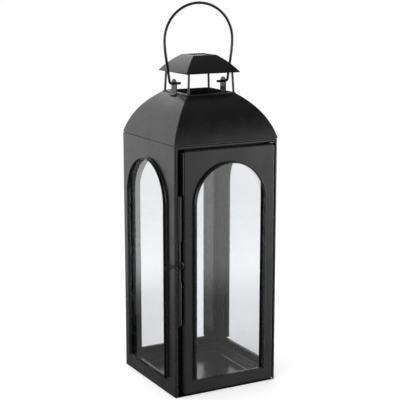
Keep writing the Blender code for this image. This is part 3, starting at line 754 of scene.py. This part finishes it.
def add_ears():
    """Bent tabs with a hole, their rounded tops up and their feet turned onto the roof."""
    spring = PIVOT - EAR_ARCH_DROP
    slope = math.radians(EAR_SLOPE)
    for node, turn in (("handle_ear_left", LEFT), ("handle_ear_right", RIGHT)):
        tab = [(-EAR_HALF, EAR_BOTTOM), (EAR_HALF, EAR_BOTTOM)]
        tab += [(EAR_HALF * math.cos(a), spring + EAR_HALF * math.sin(a))
                for a in (math.pi * i / EAR_ARCH_STEPS for i in range(EAR_ARCH_STEPS + 1))]
        hole = [(EAR_HOLE * math.cos(a), PIVOT + EAR_HOLE * math.sin(a))
                for a in (2 * math.pi * i / EAR_HOLE_STEPS for i in range(EAR_HOLE_STEPS))]
        bm = bmesh.new()
        loops = [[bm.verts.new((u, -EAR_REACH, z)) for u, z in loop] for loop in (tab, hole)]
        edges = []
        for loop in loops:
            edges += [bm.edges.new((loop[i], loop[(i + 1) % len(loop)])) for i in range(len(loop))]
        bmesh.ops.triangle_fill(bm, use_beauty=True, use_dissolve=False, edges=edges)
        rows = [loops[0][:2]]
        for i in range(1, EAR_BEND_STEPS + 1):
            angle = (math.pi / 2 + slope) * i / EAR_BEND_STEPS
            y = -EAR_REACH - EAR_BEND * (1 - math.cos(angle))
            z = EAR_BOTTOM - EAR_BEND * math.sin(angle)
            rows.append([bm.verts.new((u, y, z)) for u in (-EAR_HALF, EAR_HALF)])
        last = rows[-1][0].co
        y, z = last.y - EAR_FOOT * math.cos(slope), last.z - EAR_FOOT * math.sin(slope)
        rows.append([bm.verts.new((u, y, z)) for u in (-EAR_HALF, EAR_HALF)])
        join_rows(bm, rows)
        mesh = surface_mesh(bm, node + "_tab", (0, -1, 0), turn)
        add_piece(node + "_tab", mesh, "root", BLACK, [node], sheet=EAR_SHEET, offset=0.0)


def add_handle():
    """The wire handle: straight ends through the ears, a tight bend, nearly straight legs and an arch."""
    right = [Vector((x, 0, PIVOT)) for x in HANDLE_ENDS]
    for angle in sweep(-90, -HANDLE_LEAN, HANDLE_STEPS):
        right.append(Vector((HANDLE_FOOT - HANDLE_BEND + HANDLE_BEND * math.cos(angle), 0,
                             PIVOT + HANDLE_BEND + HANDLE_BEND * math.sin(angle))))
    foot = right[-1]
    rise = HANDLE_WIDE_Z - foot.z
    lean = math.tan(math.radians(HANDLE_LEAN)) * rise
    for i in range(1, HANDLE_STEPS + 1):
        t = i / HANDLE_STEPS
        x = (2 * t**3 - 3 * t**2 + 1) * foot.x + (t**3 - 2 * t**2 + t) * lean
        x += (3 * t**2 - 2 * t**3) * HANDLE_WIDE
        right.append(Vector((x, 0, foot.z + rise * t)))
    for angle in sweep(0, 90, HANDLE_ARCH_STEPS)[1:]:
        right.append(Vector((HANDLE_WIDE * math.cos(angle), 0,
                             HANDLE_WIDE_Z + (HANDLE_TOP - HANDLE_WIDE_Z) * math.sin(angle))))
    left = [Vector((-point.x, 0, point.z)) for point in reversed(right[:-1])]
    wire("handle_wire", right + left, HANDLE_RADIUS, "handle", ["handle_bail"], sides=18)


def add_rod():
    """The turn rod, with a rounded head at each end."""
    low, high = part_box("latch_rod")
    profile = [(radius, high.z - depth * MM) for radius, depth in ROD_END]
    profile += [(radius, low.z + depth * MM) for radius, depth in reversed(ROD_END)]
    bm = bmesh.new()
    rows = []
    for radius, z in profile:
        row = []
        for k in range(ROD_SIDES):
            angle = 2 * math.pi * k / ROD_SIDES
            row.append(bm.verts.new((ROD_X + radius * MM * math.cos(angle),
                                     ROD_Y + radius * MM * math.sin(angle), z)))
        rows.append(row)
    join_rows(bm, rows, closed=True)
    bm.faces.new(rows[0])
    bm.faces.new(list(reversed(rows[-1])))
    bmesh.ops.recalc_face_normals(bm, faces=bm.faces)
    add_piece("turn_rod", finished_mesh(bm, "turn_rod"), "latch", STEEL, ["latch_rod"], edge=None)


def add_guides():
    """The two guides, each a strip rolled round the rod."""
    for word in ("upper", "lower"):
        low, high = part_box("latch_guide_" + word)
        path = [(ROD_X + GUIDE_RADIUS, high.y), (ROD_X + GUIDE_RADIUS, ROD_Y + GUIDE_TAIL)]
        for angle in sweep(0, -GUIDE_SWEEP, GUIDE_STEPS)[1:]:
            path.append((ROD_X + GUIDE_RADIUS * math.cos(angle), ROD_Y + GUIDE_RADIUS * math.sin(angle)))
        bm = bmesh.new()
        join_rows(bm, [[bm.verts.new((a, b, z)) for z in (low.z, high.z)] for a, b in path])
        mesh = surface_mesh(bm, f"guide_{word}_rolled", (0, -1, 0))
        add_piece(f"guide_{word}_rolled", mesh, "root", BLACK, ["latch_guide_" + word],
                  sheet=GUIDE_SHEET, offset=0.0)


def add_pull():
    """The pull: one wire bent to an eye round the rod and a narrow loop as its tail."""
    low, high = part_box("latch_pull")
    z, plane = (low.z + high.z) / 2, (low.y + high.y) / 2
    eye_x, eye_half = (EYE_LEFT + EYE_RIGHT) / 2, (EYE_RIGHT - EYE_LEFT) / 2
    upper = [(eye_x + eye_half * math.cos(angle), EYE_RISE * math.sin(angle))
             for angle in sweep(0, EYE_SWEEP, EYE_STEPS)]
    neck = smooth_curve([(*upper[-1], 0), (EYE_LEFT - NECK_REACH, NECK_HALF, 0),
                         (EYE_LEFT - NECK_END, TAIL_HALF, 0)], NECK_STEPS)
    upper += [(point.x, point.y) for point in neck[1:]]
    end = low.x + PULL_RADIUS + TAIL_HALF
    upper += [(EYE_LEFT - TAIL_START, TAIL_HALF), (end + TAIL_END, TAIL_HALF)]
    upper += [(end + TAIL_HALF * math.cos(angle), TAIL_HALF * math.sin(angle))
              for angle in sweep(90, 180, TIP_STEPS)]
    lower = [(a, -b) for a, b in reversed(upper[1:-1])]
    wire("latch_pull_wire", [(a, plane, z + b) for a, b in upper + lower], PULL_RADIUS, "latch",
         ["latch_pull"], cyclic=True)


def finish_plain_nodes():
    """The hidden hinge parts keep their CAD shapes and take the steel."""
    for node in ("hinge_bracket", "hinge_pin_upper", "hinge_pin_lower"):
        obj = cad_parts[node]
        obj.data.materials.clear()
        obj.data.materials.append(materials[STEEL])


# Studio


def add_floor():
    """A pale round floor that fades out into the pale backdrop."""
    bm = bmesh.new()
    bmesh.ops.create_circle(bm, cap_ends=True, segments=FLOOR_SIDES, radius=FLOOR_RADIUS)
    mesh = finished_mesh(bm, "studio_floor")
    floor = link_object("studio_floor", mesh)
    material, tree, shader = new_material("pale_floor")
    place = tree.nodes.new("ShaderNodeTexCoord").outputs["Object"]
    speck = noise_node(tree, 60, 3, place)
    tree.links.new(mix_colour(tree, speck, (0.86, 0.86, 0.86), (0.9, 0.9, 0.9)),
                   shader.inputs["Base Color"])
    shader.inputs["Roughness"].default_value = 0.9
    shader.inputs["Specular IOR Level"].default_value = 0.1
    shader.inputs["Emission Color"].default_value = WHITE
    shader.inputs["Emission Strength"].default_value = FLOOR_GLOW
    length = tree.nodes.new("ShaderNodeVectorMath")
    length.operation = "LENGTH"
    tree.links.new(place, length.inputs[0])
    fade = map_range(tree, length.outputs["Value"], 1.0, 0.0, FADE_START, FADE_END)
    tree.links.new(fade, shader.inputs["Alpha"])
    mesh.materials.append(material)
    floor.visible_glossy = False


# The studio as broad glows on a dome: where each is, how bright, and how far it reaches in degrees
GLOWS = (
    ((-0.28, 0.95, -0.02), 1.5, 50),  # back wall
    ((0.07, 0.84, 0.56), 0.9, 20),  # high back softbox
    ((0.45, 0.86, 0.28), 1.6, 26),  # back right softbox
    ((-0.70, 0.55, 0.60), 0.5, 40),  # back left wall
    ((-0.92, -0.38, 0.12), 9.5, 25),  # left strip softbox
    ((0.90, -0.43, -0.06), 4.8, 46),  # front right softbox
    ((0.90, 0.40, 0.15), 0.8, 50),  # right wall
    ((0.0, 0.0, 1.0), 0.25, 45),  # ceiling
)
DOME_BASE = 0.03
# Under the edge of the table, only this share of the glows is left, and a low bounce from the front
TABLE_EDGE_LOW, TABLE_EDGE_HIGH = -0.29, -0.25
TABLE_SHARE = 0.12
FRONT_BOUNCE = ((0.46, -0.80, -0.40), 0.45, 34)


def dome_glow(tree, direction, place, strength, reach):
    """A round glow on the dome: brightest at place, and gone reach degrees away from it."""
    dot = tree.nodes.new("ShaderNodeVectorMath")
    dot.operation = "DOT_PRODUCT"
    dot.inputs[1].default_value = Vector(place).normalized()
    tree.links.new(direction, dot.inputs[0])
    return map_range(tree, dot.outputs["Value"], 0.0, strength, math.cos(math.radians(reach)), 1.0, True)


def add_dome():
    """The world: the glows light the lantern, and the camera sees a plain white backdrop."""
    world = bpy.data.worlds.new("studio_dome")
    bpy.context.scene.world = world
    world.use_nodes = True
    tree = world.node_tree
    direction = tree.nodes.new("ShaderNodeTexCoord").outputs["Generated"]
    glows = [dome_glow(tree, direction, *glow) for glow in GLOWS]
    total = glows[0]
    for glow in glows[1:]:
        total = math_node(tree, "ADD", total, glow)
    height = tree.nodes.new("ShaderNodeSeparateXYZ")
    tree.links.new(direction, height.inputs[0])
    table = map_range(tree, height.outputs["Z"], TABLE_SHARE, 1.0, TABLE_EDGE_LOW, TABLE_EDGE_HIGH, True)
    total = math_node(tree, "MULTIPLY", total, table)
    total = math_node(tree, "ADD", total, dome_glow(tree, direction, *FRONT_BOUNCE))
    total = math_node(tree, "ADD", total, DOME_BASE)
    studio = tree.nodes["Background"]
    studio.inputs["Color"].default_value = WHITE
    tree.links.new(total, studio.inputs["Strength"])
    backdrop = tree.nodes.new("ShaderNodeBackground")
    backdrop.inputs["Color"].default_value = WHITE
    rays = tree.nodes.new("ShaderNodeLightPath")
    mix = tree.nodes.new("ShaderNodeMixShader")
    tree.links.new(rays.outputs["Is Camera Ray"], mix.inputs["Fac"])
    tree.links.new(studio.outputs[0], mix.inputs[1])
    tree.links.new(backdrop.outputs[0], mix.inputs[2])
    tree.links.new(mix.outputs[0], tree.nodes["World Output"].inputs["Surface"])


def add_lamp():
    """A soft lamp over the lantern that lights the floor and the inside but doesn't show in the paint."""
    lamp = bpy.data.lights.new("overhead", "AREA")
    lamp.shape = "DISK"
    lamp.size = LAMP_SIZE
    lamp.energy = LAMP_POWER
    obj = link_object("overhead", lamp)
    obj.location = LAMP_PLACE
    obj.rotation_euler = (-LAMP_PLACE).to_track_quat("-Z", "Y").to_euler()
    obj.visible_glossy = False


def add_camera():
    azimuth, elevation = math.radians(CAMERA_AZIMUTH), math.radians(CAMERA_ELEVATION)
    back = Vector((math.sin(azimuth) * math.cos(elevation), -math.cos(azimuth) * math.cos(elevation),
                   math.sin(elevation)))
    camera = bpy.data.cameras.new("camera")
    camera.lens = CAMERA_LENS
    camera.sensor_width = SENSOR_WIDTH
    camera.clip_start = 0.05
    camera.clip_end = 50
    obj = link_object("camera", camera)
    obj.location = CAMERA_TARGET + back * CAMERA_DISTANCE
    obj.rotation_euler = (-back).to_track_quat("-Z", "Y").to_euler()
    bpy.context.scene.camera = obj


add_camera()
add_tray()
add_walls()
add_door()
add_surround()
add_roof()
add_cap()
add_ears()
add_handle()
add_rod()
add_guides()
add_pull()
finish_plain_nodes()
add_floor()
add_dome()
add_lamp()
bpy.context.scene.view_settings.view_transform = "Standard"
